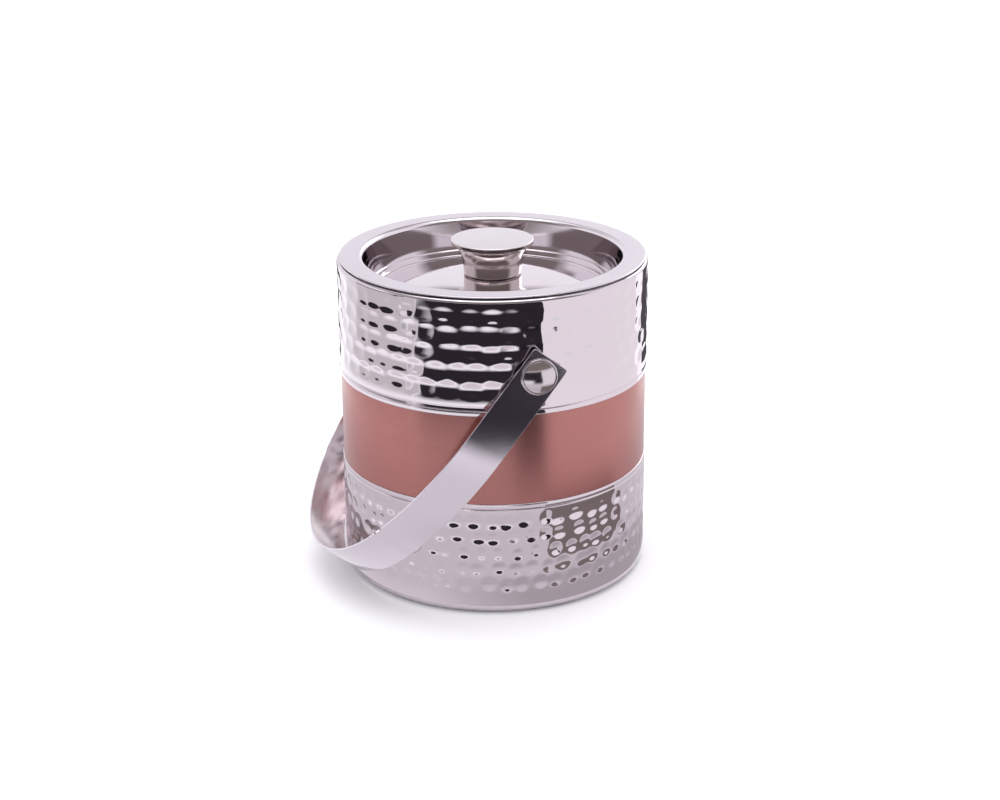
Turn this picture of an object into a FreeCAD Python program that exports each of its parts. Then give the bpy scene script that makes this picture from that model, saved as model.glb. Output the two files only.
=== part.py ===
import FreeCAD, Part
import math
import os

import Sketcher

# Double-walled ice bucket with a copper band, a lift-off lid and a swinging strap handle.
# Millimetres, +Z up. The origin is the centre of the flat base. The handle pivots on the X axis
# direction and hangs towards -Y. Every size below can be changed by itself.

DRIVING_SIZES = [
    # outer shell
    ("body_radius", 82.5, "outside radius of the steel shell"),
    ("rim_height", 171.3, "height of the rim above the table"),
    ("shell_wall", 0.7, "thickness of the shell sheet"),
    ("base_corner", 6.0, "outside radius between the base and the side"),
    ("shoulder", 1.6, "outside radius between the side and the rim"),
    ("rim_width", 6.5, "how far the shell's rim reaches inwards"),
    ("band_low", 62.3, "lower edge of the copper band"),
    ("band_high", 110.4, "upper edge of the copper band"),
    ("band_recess", 1.0, "depth of the shell's recess for the band"),
    ("band_wall", 0.5, "thickness of the copper band"),
    ("bead_height", 2.9, "plain bead on each side of the band"),
    ("groove_width", 0.7, "fine groove that ends each bead"),
    ("groove_depth", 0.35, "depth of that groove"),
    # inner liner
    ("wall_span", 12.4, "from the outside of the shell to the inside of the liner"),
    ("liner_wall", 0.6, "thickness of the liner sheet"),
    ("mouth_lip", 1.0, "rounding of the liner's mouth"),
    ("liner_corner", 12.0, "inside radius at the liner's floor"),
    ("floor_gap", 9.3, "air gap between the two floors"),
    # lid
    ("lid_wall", 0.6, "thickness of the lid sheet"),
    ("lid_lift", 0.3, "gap between the lid's hem and the rim"),
    ("lid_inset", 1.3, "how far the lid's edge stands inside the shell's side"),
    ("hem_width", 4.5, "width of the folded hem at the lid's edge"),
    ("mouth_fit", 0.5, "radial gap between the lid's dish and the liner's mouth"),
    ("dish_round", 1.0, "rounding at the top of the dish"),
    ("dish_draft", 3.0, "how much the dish narrows on its way down"),
    ("dish_wall_height", 17.2, "height of the dish wall"),
    ("gutter_depth", 2.7, "step from the foot of the wall to the gutter"),
    ("gutter_ledge", 1.0, "width of the ledge and of the gutter"),
    ("dish_crown", 8.0, "rise of the domed floor to the knob's seat"),
    ("seat_margin", 1.3, "flat seat beyond the knob's foot"),
    # knob and its screw
    ("knob_height", 19.3, "height of the knob"),
    ("knob_radius", 21.9, "radius of the knob's top"),
    ("knob_edge", 2.2, "thickness of the knob's edge"),
    ("knob_neck", 15.9, "radius where the flare meets the stem"),
    ("knob_foot", 15.2, "radius of the stem at its foot"),
    ("knob_stem", 7.8, "height of the stem below the flare"),
    ("knob_flare", 11.3, "radius of the flare's hollow curve"),
    ("knob_undercut", 0.6, "height and depth of the groove at the foot"),
    ("screw_radius", 2.45, "knob screw, M5"),
    ("screw_reach", 11.0, "length of the screw inside the knob"),
    ("screw_head", 4.6, "radius of the screw's head"),
    ("screw_head_height", 2.8, "height of the screw's head"),
    ("thread_fit", 0.05, "radial gap that stands for each thread"),
    ("screw_hole_fit", 0.3, "radial gap of a screw in a plain hole"),
    ("knob_washer_radius", 7.5, "washer under the lid"),
    ("washer_wall", 0.8, "thickness of that washer"),
    # handle
    ("pivot_height", 131.5, "height of the handle's pivot axis"),
    ("strap_wall", 1.2, "thickness of the handle strap"),
    ("strap_stand_off", 1.0, "gap between the shell and the strap"),
    ("strap_end_width", 21.8, "strap width at its ends"),
    ("strap_grip_width", 23.6, "strap width at the middle of the grip"),
    ("strap_end_length", 10.6, "strap beyond the pivot"),
    ("strap_corner", 1.5, "corner radius of the strap's ends"),
    ("strap_arm", 44.0, "straight length of each arm below the pivot"),
    ("strap_drop", 31.3, "end of the straight arms to the centre of the grip's arc"),
    ("strap_shoulder", 9.6, "half span less the grip's radius"),
    ("rest_gap", 0.3, "gap between the hanging strap and the shell"),
    # pivot fittings
    ("bolt_radius", 2.5, "pivot bolt, M5"),
    ("bush_radius", 4.0, "barrel of the bush that the strap turns on"),
    ("bush_flange", 6.5, "radius of the bush's flange"),
    ("run_fit", 0.05, "radial gap between strap and bush"),
    ("end_play", 0.1, "gap on each side of the strap"),
    ("seat_fit", 0.02, "gap between seated pieces"),
    ("cup_radius", 9.45, "radius of the cup washer"),
    ("cup_wall", 0.6, "thickness of the cup washer"),
    ("cup_lip", 1.3, "height of the cup washer's rolled lip"),
    ("cup_lip_width", 1.0, "width of that lip"),
    ("head_fit", 0.15, "radial gap between the bolt's head and the lip"),
    ("head_edge", 0.7, "height of the bolt head's edge"),
    ("head_dome", 1.8, "rise of the bolt head's dome"),
    ("saddle_radius", 8.0, "washer inside the shell"),
    ("saddle_wall", 1.6, "thickness of that washer at its middle"),
    ("nut_flats", 8.0, "width across the nut's flats"),
    ("nut_height", 4.0, "height of the nut"),
    ("bolt_tail", 1.0, "thread beyond the nut"),
]

FULL_TURN = 360.0


class Size:
    """A length that knows its value and the sheet formula that drives it."""

    def __init__(self, value, text):
        self.value = value
        self.text = text

    def __add__(self, other):
        other = as_size(other)
        return Size(self.value + other.value, f"({self.text} + {other.text})")

    def __sub__(self, other):
        other = as_size(other)
        return Size(self.value - other.value, f"({self.text} - {other.text})")

    def __mul__(self, other):
        other = as_size(other)
        return Size(self.value * other.value, f"({self.text} * {other.text})")

    def __truediv__(self, other):
        other = as_size(other)
        return Size(self.value / other.value, f"({self.text} / {other.text})")

    def __neg__(self):
        return Size(-self.value, f"(0 - {self.text})")


def as_size(number):
    if isinstance(number, Size):
        return number
    return Size(float(number), repr(float(number)))


def root(size):
    return Size(math.sqrt(size.value), f"sqrt({size.text})")


def make_sheet(doc):
    """Write the driving sizes to the sheet and return them as Size values by name."""
    sheet = doc.addObject("Spreadsheet::Sheet", "Sizes")
    sizes = {}
    for row, (name, value, meaning) in enumerate(DRIVING_SIZES, start=1):
        sheet.set(f"A{row}", meaning)
        sheet.set(f"B{row}", str(value))
        sheet.setAlias(f"B{row}", name)
        sizes[name] = Size(value, f"Sizes.{name}")
    doc.recompute()
    return sizes


def origin_plane(body, role):
    for feature in body.Origin.OriginFeatures:
        if feature.Role == role:
            return feature
    raise ValueError(role)


def new_body(doc, label):
    body = doc.addObject("PartDesign::Body", label)
    body.Label = label
    return body


def new_sketch(body, name, role):
    sketch = body.newObject("Sketcher::SketchObject", name)
    sketch.AttachmentSupport = [(origin_plane(body, role), "")]
    sketch.MapMode = "FlatFace"
    return sketch


def bind(sketch, constraint, size):
    index = sketch.addConstraint(constraint)
    sketch.setExpression(f"Constraints[{index}]", size.text)


def pin_point(sketch, edge, end, across, up):
    """Hold one end of an edge at (across, up) from the sketch's origin."""
    if across is None:
        sketch.addConstraint(Sketcher.Constraint("PointOnObject", edge, end, -2))
    else:
        bind(sketch, Sketcher.Constraint("DistanceX", -1, 1, edge, end, across.value), across)
    if up is None:
        sketch.addConstraint(Sketcher.Constraint("PointOnObject", edge, end, -1))
    else:
        bind(sketch, Sketcher.Constraint("DistanceY", -1, 1, edge, end, up.value), up)


def arc_between(start, finish, radius, turns_left):
    """The shorter arc from start to finish, with its centre on the left if it turns left."""
    chord = finish - start
    half = chord.Length / 2
    side = FreeCAD.Vector(-chord.y, chord.x, 0).normalize()
    height = math.sqrt(max(radius * radius - half * half, 0.0))
    centre = (start + finish) * 0.5 + side * (height if turns_left else -height)
    first, last = (start, finish) if turns_left else (finish, start)
    angles = [math.atan2(p.y - centre.y, p.x - centre.x) for p in (first, last)]
    circle = Part.Circle(centre, FreeCAD.Vector(0, 0, 1), radius)
    return Part.ArcOfCircle(circle, angles[0], angles[1])


def draw_outline(sketch, corners):
    """Draw a closed outline. A corner is (across, up), or (across, up, radius, 'left' or 'right')
    where the edge that leaves it is an arc. None stands for a place on the axis."""
    points = []
    for corner in corners:
        across = corner[0].value if corner[0] is not None else 0.0
        up = corner[1].value if corner[1] is not None else 0.0
        points.append(FreeCAD.Vector(across, up, 0))
    ends = []
    for index, corner in enumerate(corners):
        start, finish = points[index], points[(index + 1) % len(points)]
        if len(corner) == 2:
            sketch.addGeometry(Part.LineSegment(start, finish), False)
            ends.append((1, 2))
        else:
            turns_left = corner[3] == "left"
            arc = arc_between(start, finish, corner[2].value, turns_left)
            sketch.addGeometry(arc, False)
            ends.append((1, 2) if turns_left else (2, 1))
    for index, corner in enumerate(corners):
        after = (index + 1) % len(corners)
        sketch.addConstraint(
            Sketcher.Constraint("Coincident", index, ends[index][1], after, ends[after][0])
        )
        pin_point(sketch, index, ends[index][0], corner[0], corner[1])
        if len(corner) == 4:
            bind(sketch, Sketcher.Constraint("Radius", index, corner[2].value), corner[2])


def revolve_outline(body, corners):
    """Turn a half section in the XZ plane about the body's own Z axis."""
    sketch = new_sketch(body, body.Label + "_section", "XZ_Plane")
    draw_outline(sketch, corners)
    turn = body.newObject("PartDesign::Revolution", body.Label + "_turned")
    turn.Profile = sketch
    turn.ReferenceAxis = (sketch, ["V_Axis"])
    turn.Angle = FULL_TURN
    body.Document.recompute()
    return turn


def draw_circle(sketch, radius, up=None):
    """A circle centred on the sketch's vertical axis."""
    height = up.value if up is not None else 0.0
    circle = Part.Circle(FreeCAD.Vector(0, height, 0), FreeCAD.Vector(0, 0, 1), radius.value)
    index = sketch.addGeometry(circle, False)
    pin_point(sketch, index, 3, None, up)
    bind(sketch, Sketcher.Constraint("Radius", index, radius.value), radius)


def cut_through(body, sketch, label):
    """Cut the sketch's area out of the body on both sides of the sketch's plane."""
    before = body.Tip.Shape.Volume
    pocket = body.newObject("PartDesign::Pocket", label)
    pocket.Profile = sketch
    pocket.Type = "ThroughAll"
    pocket.Midplane = True
    body.Document.recompute()
    if not pocket.Shape.Volume < before:
        raise ValueError(label + " cuts nothing")
    return pocket


def make_outer_shell(doc, z):
    """Drawn steel can with a recess for the band and a rounded shoulder."""
    side = z["body_radius"]
    wall = z["shell_wall"]
    inner = side - wall
    floor_edge = side - z["base_corner"]
    rim = z["rim_height"]
    rim_edge = side - z["shoulder"]
    rim_end = side - z["rim_width"]
    band_side = side - z["band_recess"]
    half_groove = z["groove_width"] / 2
    grooves = []
    for height in (z["band_low"] - z["bead_height"], z["band_high"] + z["bead_height"]):
        grooves.append([
            (side, height - half_groove),
            (side - z["groove_depth"], height),
            (side, height + half_groove),
        ])
    outside = [
        (None, None),
        (floor_edge, None, z["base_corner"], "left"),
        (side, z["base_corner"]),
        *grooves[0],
        (side, z["band_low"]),
        (band_side, z["band_low"]),
        (band_side, z["band_high"]),
        (side, z["band_high"]),
        *grooves[1],
        (side, rim - z["shoulder"], z["shoulder"], "left"),
        (rim_edge, rim),
        (rim_end, rim),
    ]
    inside = [
        (rim_end, rim - wall),
        (rim_edge, rim - wall, z["shoulder"] - wall, "right"),
        (inner, rim - z["shoulder"]),
        (inner, z["band_high"] + wall),
        (band_side - wall, z["band_high"] + wall),
        (band_side - wall, z["band_low"] - wall),
        (inner, z["band_low"] - wall),
        (inner, z["base_corner"], z["base_corner"] - wall, "right"),
        (floor_edge, wall),
        (None, wall),
    ]
    body = new_body(doc, "outer_shell")
    revolve_outline(body, outside + inside)
    sketch = new_sketch(body, "bolt_holes", "YZ_Plane")
    draw_circle(sketch, z["bolt_radius"] + z["screw_hole_fit"], z["pivot_height"])
    cut_through(body, sketch, "shell_bolt_holes")
    return body


def make_copper_band(doc, z):
    """Copper sleeve that lies in the shell's recess."""
    inner = z["body_radius"] - z["band_recess"] + z["seat_fit"]
    outer = inner + z["band_wall"]
    low = z["band_low"] + z["seat_fit"]
    high = z["band_high"] - z["seat_fit"]
    body = new_body(doc, "copper_band")
    revolve_outline(body, [(inner, low), (outer, low), (outer, high), (inner, high)])
    return body


def make_inner_liner(doc, z):
    """Drawn steel cup that holds the ice and meets the shell's rim end to end."""
    rim = z["rim_height"]
    wall = z["liner_wall"]
    lip = z["mouth_lip"]
    seam = z["body_radius"] - z["rim_width"]
    mouth = z["body_radius"] - z["wall_span"]
    corner = z["liner_corner"]
    floor = z["shell_wall"] + z["floor_gap"] + wall
    body = new_body(doc, "inner_liner")
    revolve_outline(body, [
        (None, floor - wall),
        (mouth - corner, floor - wall, corner + wall, "left"),
        (mouth + wall, floor + corner),
        (mouth + wall, rim - lip, lip - wall, "right"),
        (mouth + lip, rim - wall),
        (seam, rim - wall),
        (seam, rim),
        (mouth + lip, rim, lip, "left"),
        (mouth, rim - lip),
        (mouth, floor + corner, corner, "right"),
        (mouth - corner, floor),
        (None, floor),
    ])
    return body


def lid_levels(z):
    """Heights and radii that the lid, the knob and its screw share."""
    top = z["rim_height"] + z["lid_lift"] + z["lid_wall"] * 2
    ledge = top - z["dish_wall_height"]
    gutter = ledge - z["gutter_depth"]
    dish = z["body_radius"] - z["wall_span"] - z["mouth_fit"] - z["lid_wall"]
    return {
        "top": top,
        "ledge": ledge,
        "gutter": gutter,
        "seat": gutter + z["dish_crown"],
        "dish": dish,
        "foot": dish - z["dish_draft"],
    }


def make_lid_pan(doc, z):
    """One sheet: hemmed flange, dish wall, gutter and a domed floor under the knob."""
    wall = z["lid_wall"]
    levels = lid_levels(z)
    top, ledge, gutter = levels["top"], levels["ledge"], levels["gutter"]
    seat, dish, foot = levels["seat"], levels["dish"], levels["foot"]
    edge = z["body_radius"] - z["lid_inset"]
    hem = edge - z["hem_width"]
    step = foot - z["gutter_ledge"]
    dome_edge = step - wall - z["gutter_ledge"]
    seat_edge = z["knob_foot"] + z["seat_margin"]
    hole = z["screw_radius"] + z["screw_hole_fit"]
    run = dome_edge - seat_edge
    dome = (run * run + z["dish_crown"] * z["dish_crown"]) / (z["dish_crown"] * 2)
    rounding = z["dish_round"]
    body = new_body(doc, "lid_pan")
    revolve_outline(body, [
        (hole, seat - wall),
        (seat_edge, seat - wall, dome, "right"),
        (dome_edge, gutter - wall),
        (step, gutter - wall),
        (step + wall, ledge - wall),
        (foot + wall, ledge - wall),
        (dish + wall, top - rounding, rounding - wall, "right"),
        (dish + rounding, top - wall),
        (hem, top - wall),
        (hem, top - wall * 2),
        (edge - wall, top - wall * 2, wall, "left"),
        (edge, top - wall, wall, "left"),
        (edge - wall, top),
        (dish + rounding, top, rounding, "left"),
        (dish, top - rounding),
        (foot, ledge),
        (step, ledge),
        (step - wall, gutter),
        (dome_edge, gutter, dome, "left"),
        (seat_edge, seat),
        (hole, seat),
    ])
    return body


def make_lid_knob(doc, z):
    """Turned knob with a flat top, a hollow flare and a tapped hole from below."""
    seat = lid_levels(z)["seat"]
    top = seat + z["knob_height"]
    bore = z["screw_radius"] + z["thread_fit"]
    bore_end = seat + z["screw_reach"] + z["screw_radius"]
    undercut = z["knob_undercut"]
    body = new_body(doc, "lid_knob")
    revolve_outline(body, [
        (None, bore_end),
        (bore, bore_end),
        (bore, seat),
        (z["knob_foot"] - undercut, seat),
        (z["knob_foot"] - undercut, seat + undercut),
        (z["knob_foot"], seat + undercut),
        (z["knob_neck"], seat + z["knob_stem"], z["knob_flare"], "right"),
        (z["knob_radius"], top - z["knob_edge"]),
        (z["knob_radius"], top),
        (None, top),
    ])
    return body


def make_knob_screw(doc, z):
    """Pan-head screw from below the lid into the knob."""
    below = lid_levels(z)["seat"] - z["lid_wall"] - z["washer_wall"]
    head = below - z["screw_head_height"]
    tip = lid_levels(z)["seat"] + z["screw_reach"]
    body = new_body(doc, "knob_screw")
    revolve_outline(body, [
        (None, head),
        (z["screw_head"], head),
        (z["screw_head"], below),
        (z["screw_radius"], below),
        (z["screw_radius"], tip),
        (None, tip),
    ])
    return body


def make_knob_washer(doc, z):
    """Flat washer between the screw's head and the lid."""
    above = lid_levels(z)["seat"] - z["lid_wall"]
    below = above - z["washer_wall"]
    inner = z["screw_radius"] + z["screw_hole_fit"]
    outer = z["knob_washer_radius"]
    body = new_body(doc, "knob_washer")
    revolve_outline(body, [(inner, below), (outer, below), (outer, above), (inner, above)])
    return body


def strap_arch(z):
    """Four-centred arch of the strap's middle line, seen square on, with the pivot at the origin."""
    half_span = z["body_radius"] + z["strap_stand_off"] + z["strap_wall"] / 2
    grip = half_span - z["strap_shoulder"]
    drop = z["strap_drop"]
    shoulder = half_span - grip
    side = (half_span * half_span + drop * drop - grip * grip) / (shoulder * 2)
    return {
        "half_span": half_span,
        "grip": grip,
        "reach": z["strap_arm"] + drop + grip,
        "side": side,
        "turn_x": (side - half_span) / (side - grip),
        "turn_z": drop / (side - grip),
    }


def strap_line(z, arch, offset):
    """Right half of the strap's outline, at an offset from its middle line."""
    arm_x = arch["half_span"] + offset
    side = arch["side"] + offset
    meet_x = arch["half_span"] - arch["side"] + side * arch["turn_x"]
    meet_z = -(z["strap_arm"] + side * arch["turn_z"])
    return arm_x, side, meet_x, meet_z, arch["grip"] + offset


def make_handle_strap(doc, z):
    """Flat strap bent to a bail, hanging against the shell. Its width tapers to the ends."""
    arch = strap_arch(z)
    half_wall = z["strap_wall"] / 2
    end = z["strap_end_length"]
    arm = -z["strap_arm"]
    outer_x, outer_side, outer_mx, outer_mz, outer_grip = strap_line(z, arch, half_wall)
    inner_x, inner_side, inner_mx, inner_mz, inner_grip = strap_line(z, arch, -half_wall)
    body = new_body(doc, "handle_strap")
    sketch = new_sketch(body, "strap_section", "XZ_Plane")
    draw_outline(sketch, [
        (outer_x, end),
        (outer_x, arm, outer_side, "right"),
        (outer_mx, outer_mz, outer_grip, "right"),
        (-outer_mx, outer_mz, outer_side, "right"),
        (-outer_x, arm),
        (-outer_x, end),
        (-inner_x, end),
        (-inner_x, arm, inner_side, "left"),
        (-inner_mx, inner_mz, inner_grip, "left"),
        (inner_mx, inner_mz, inner_side, "left"),
        (inner_x, arm),
        (inner_x, end),
    ])
    both_widths = z["strap_end_width"] + z["strap_grip_width"]
    pad = body.newObject("PartDesign::Pad", "strap_pad")
    pad.Profile = sketch
    pad.Midplane = True
    pad.setExpression("Length", both_widths.text)
    doc.recompute()
    taper = new_sketch(body, "strap_taper", "YZ_Plane")
    top = end + 1
    low = -(arch["reach"] + z["strap_wall"])
    end_half = z["strap_end_width"] / 2
    grip_half = z["strap_grip_width"] / 2
    draw_outline(taper, [
        (end_half, top),
        (grip_half, low),
        (both_widths, low),
        (both_widths, top),
    ])
    cut_through(body, taper, "strap_edge_front")
    taper_back = new_sketch(body, "strap_taper_back", "YZ_Plane")
    draw_outline(taper_back, [
        (-end_half, top),
        (-both_widths, top),
        (-both_widths, low),
        (-grip_half, low),
    ])
    cut_through(body, taper_back, "strap_edge_back")
    holes = new_sketch(body, "strap_holes", "YZ_Plane")
    draw_circle(holes, z["bush_radius"] + z["run_fit"])
    cut_through(body, holes, "strap_pivot_holes")
    round_strap_corners(body, z)
    lay_strap_at_rest(body, z, arch)
    return body


def round_strap_corners(body, z):
    """Round the four corners of the strap's two ends."""
    end = z["strap_end_length"].value
    base = body.Tip
    names = []
    for index, edge in enumerate(base.Shape.Edges, start=1):
        at_end = all(abs(vertex.Z - end) < 1e-6 for vertex in edge.Vertexes)
        across = abs(edge.Length - z["strap_wall"].value) < 1e-6
        if at_end and across:
            names.append(f"Edge{index}")
    fillet = body.newObject("PartDesign::Fillet", "strap_corners")
    fillet.Base = (base, names)
    fillet.setExpression("Radius", z["strap_corner"].text)
    body.Document.recompute()


def lay_strap_at_rest(body, z, arch):
    """Turn the strap about the pivot until its edge is one gap away from the shell."""
    reach = arch["reach"] - z["strap_wall"] / 2
    half = z["strap_grip_width"] / 2
    clear = z["body_radius"] + z["rest_gap"]
    slant = root(reach * reach + half * half)
    lean = f"(asin({(clear / slant).text}) + atan({(half / reach).text}))"
    body.Placement = FreeCAD.Placement(
        FreeCAD.Vector(0, 0, z["pivot_height"].value),
        FreeCAD.Rotation(FreeCAD.Vector(1, 0, 0), -1.0),
    )
    body.setExpression("Placement.Base.z", z["pivot_height"].text)
    body.setExpression("Placement.Rotation.Angle", f"-{lean}")


def set_on_pivot(piece, z, right):
    """Point a fitting's own Z axis outwards along the pivot axis, to the right or the left."""
    turn = FreeCAD.Rotation(FreeCAD.Vector(0, 1, 0), 90 if right else -90)
    piece.Placement = FreeCAD.Placement(FreeCAD.Vector(0, 0, z["pivot_height"].value), turn)
    piece.setExpression("Placement.Base.z", z["pivot_height"].text)


def pivot_levels(z):
    """Distances from the bucket's axis that the fittings of one pivot share."""
    strap_in = z["body_radius"] + z["strap_stand_off"]
    strap_out = strap_in + z["strap_wall"]
    saddle_out = z["body_radius"] - z["shell_wall"] - z["seat_fit"]
    return {
        "flange": strap_in - z["end_play"],
        "cup": strap_out + z["end_play"],
        "head": strap_out + z["end_play"] + z["cup_wall"],
        "saddle_out": saddle_out,
        "nut": saddle_out - z["saddle_wall"],
    }


def make_pivot_bush(doc, z, side, right):
    """Flanged bush: the flange is hollowed to the shell and the strap turns on the barrel."""
    levels = pivot_levels(z)
    bore = z["bolt_radius"] + z["thread_fit"]
    start = z["body_radius"] - z["shell_wall"]
    body = new_body(doc, side + "_pivot_bush")
    revolve_outline(body, [
        (bore, start),
        (z["bush_flange"], start),
        (z["bush_flange"], levels["flange"]),
        (z["bush_radius"], levels["flange"]),
        (z["bush_radius"], levels["cup"]),
        (bore, levels["cup"]),
    ])
    sketch = new_sketch(body, side + "_bush_hollow", "YZ_Plane")
    draw_circle(sketch, z["body_radius"] + z["seat_fit"])
    cut_through(body, sketch, side + "_bush_saddle")
    set_on_pivot(body, z, right)
    return body


def make_cup_washer(doc, z, side, right):
    """Thin washer with a rolled lip that frames the bolt's head."""
    base = pivot_levels(z)["cup"]
    seat = base + z["cup_wall"]
    lip_top = base + z["cup_lip"]
    outer = z["cup_radius"]
    inner = outer - z["cup_lip_width"]
    crest = outer - z["cup_lip_width"] / 2
    roll = z["cup_lip_width"] / 2
    hole = z["bolt_radius"] + z["thread_fit"]
    body = new_body(doc, side + "_cup_washer")
    revolve_outline(body, [
        (hole, base),
        (outer, base),
        (outer, lip_top - roll, roll, "left"),
        (crest, lip_top, roll, "left"),
        (inner, lip_top - roll),
        (inner, seat),
        (hole, seat),
    ])
    set_on_pivot(body, z, right)
    return body


def make_pivot_bolt(doc, z, side, right):
    """Bolt with a smooth domed head outside and its thread in the gap between the walls."""
    levels = pivot_levels(z)
    head = z["cup_radius"] - z["cup_lip_width"] - z["head_fit"]
    seat = levels["head"]
    rise = z["head_dome"]
    dome = (head * head + rise * rise) / (rise * 2)
    tip = levels["nut"] - z["nut_height"] - z["bolt_tail"]
    body = new_body(doc, side + "_pivot_bolt")
    revolve_outline(body, [
        (None, tip),
        (z["bolt_radius"], tip),
        (z["bolt_radius"], seat),
        (head, seat),
        (head, seat + z["head_edge"], dome, "left"),
        (None, seat + z["head_edge"] + rise),
    ])
    set_on_pivot(body, z, right)
    return body


def make_saddle_washer(doc, z, side, right):
    """Washer with a round back that fits the inside of the shell and a flat face for the nut."""
    levels = pivot_levels(z)
    hole = z["bolt_radius"] + z["screw_hole_fit"]
    outer = z["saddle_radius"]
    body = new_body(doc, side + "_saddle_washer")
    revolve_outline(body, [
        (hole, levels["nut"]),
        (outer, levels["nut"]),
        (outer, levels["saddle_out"]),
        (hole, levels["saddle_out"]),
    ])
    sketch = new_sketch(body, side + "_saddle_back", "YZ_Plane")
    draw_circle(sketch, levels["saddle_out"])
    draw_circle(sketch, levels["saddle_out"] + z["saddle_radius"])
    cut_through(body, sketch, side + "_saddle_curve")
    set_on_pivot(body, z, right)
    return body


def make_pivot_nut(doc, z, side, right):
    """Hexagon nut in the gap between the walls."""
    top = pivot_levels(z)["nut"]
    low = top - z["nut_height"]
    label = side + "_pivot_nut"
    corner_radius = z["nut_flats"] / root(as_size(3))
    prism = doc.addObject("Part::Prism", side + "_nut_blank")
    prism.Polygon = 6
    prism.setExpression("Circumradius", corner_radius.text)
    prism.setExpression("Height", z["nut_height"].text)
    prism.setExpression("Placement.Base.z", low.text)
    thread = doc.addObject("Part::Cylinder", side + "_nut_thread")
    thread.setExpression("Radius", (z["bolt_radius"] + z["thread_fit"]).text)
    thread.setExpression("Height", (z["nut_height"] * 3).text)
    thread.setExpression("Placement.Base.z", (low - z["nut_height"]).text)
    nut = doc.addObject("Part::Cut", label)
    nut.Label = label
    nut.Base = prism
    nut.Tool = thread
    set_on_pivot(nut, z, right)
    return nut


def make_parts(doc, z):
    parts = [
        make_outer_shell(doc, z),
        make_copper_band(doc, z),
        make_inner_liner(doc, z),
        make_lid_pan(doc, z),
        make_lid_knob(doc, z),
        make_knob_screw(doc, z),
        make_knob_washer(doc, z),
        make_handle_strap(doc, z),
    ]
    fittings = [
        make_pivot_bush, make_cup_washer, make_pivot_bolt, make_saddle_washer, make_pivot_nut,
    ]
    for side, right in (("right", True), ("left", False)):
        for make in fittings:
            parts.append(make(doc, z, side, right))
    return parts


def check_and_write(doc, parts):
    """Stop on any failed object or bad shape, then write one STEP file for each sub-part."""
    doc.recompute()
    for item in doc.Objects:
        if "Invalid" in item.State or "Error" in item.State:
            raise RuntimeError(f"{item.Label} failed: {item.State}")
    for part in parts:
        if part.Shape.isNull() or not part.Shape.isValid() or len(part.Shape.Solids) != 1:
            raise RuntimeError(f"{part.Label} is not one valid solid")
    os.makedirs("parts", exist_ok=True)
    for part in parts:
        part.Shape.exportStep(f"parts/{part.Label}.step")
        box = part.Shape.BoundBox
        spans = f"{box.XLength:.2f} x {box.YLength:.2f} x {box.ZLength:.2f}"
        print(f"{part.Label}: {spans} mm, {part.Shape.Volume:.0f} mm3")


document = FreeCAD.newDocument("ice_bucket")
sizes = make_sheet(document)
check_and_write(document, make_parts(document, sizes))
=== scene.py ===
# %% [markdown]
# # A hammered steel ice bucket
# The bucket is a drawn steel can with hammered sides, a copper band, a lid with a recessed dish, a
# turned knob and a flat strap handle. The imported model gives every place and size, so it is
# loaded first. Each shown piece is then made again with finer shapes and real finishes.

# %% Load the frame
import math
import random

import bmesh
import bpy
import numpy as np
from mathutils import Matrix, Vector


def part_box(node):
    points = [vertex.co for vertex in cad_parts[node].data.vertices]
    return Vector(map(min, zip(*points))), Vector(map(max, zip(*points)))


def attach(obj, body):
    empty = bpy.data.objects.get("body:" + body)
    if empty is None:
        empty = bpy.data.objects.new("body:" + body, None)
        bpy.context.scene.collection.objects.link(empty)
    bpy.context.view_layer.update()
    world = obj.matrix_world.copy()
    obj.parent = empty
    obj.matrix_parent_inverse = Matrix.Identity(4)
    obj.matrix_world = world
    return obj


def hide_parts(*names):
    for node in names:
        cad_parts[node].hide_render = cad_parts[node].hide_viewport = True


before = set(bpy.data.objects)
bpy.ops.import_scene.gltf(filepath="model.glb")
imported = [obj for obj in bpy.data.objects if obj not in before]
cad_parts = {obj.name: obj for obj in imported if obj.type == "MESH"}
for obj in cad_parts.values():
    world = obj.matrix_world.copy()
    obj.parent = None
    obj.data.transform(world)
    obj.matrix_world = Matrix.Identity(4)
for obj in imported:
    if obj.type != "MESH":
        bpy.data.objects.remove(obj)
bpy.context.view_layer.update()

MM = 0.001
TURN = 2 * math.pi
print("nodes", sorted(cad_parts))

# %% [markdown]
# ## Sizes that every piece shares
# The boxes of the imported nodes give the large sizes, in millimetres. Small ones, such as a sheet's
# thickness, are named where they are first needed. Working in millimetres keeps the outlines
# readable, and each mesh is scaled to metres as its points are made.

# %% Shared sizes
def box_mm(node):
    """The two corners of a node's box, in millimetres."""
    low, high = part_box(node)
    return [c / MM for c in low], [c / MM for c in high]


shell_high = box_mm("outer_shell")[1]
band_low, band_high = box_mm("copper_band")
lid_high = box_mm("lid_pan")[1]
knob_low, knob_high = box_mm("lid_knob")
bolt_low, bolt_high = box_mm("right_pivot_bolt")

body_radius = shell_high[0]
rim_height = shell_high[2]
pivot_height = (bolt_low[2] + bolt_high[2]) / 2
print("body radius", body_radius, "rim", rim_height, "pivot", pivot_height)

# %% [markdown]
# ## Outlines that are spun
# Almost every piece of this bucket was turned, spun or drawn on a round tool, so its shape is one
# outline turned about an axis. Blender's spin operator does the same. `rounded` softens the
# corners of an outline with true arcs, because polished metal shows every edge as a bright line.

# %% Outlines with rounded corners
ARC_STEPS = 5


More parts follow.
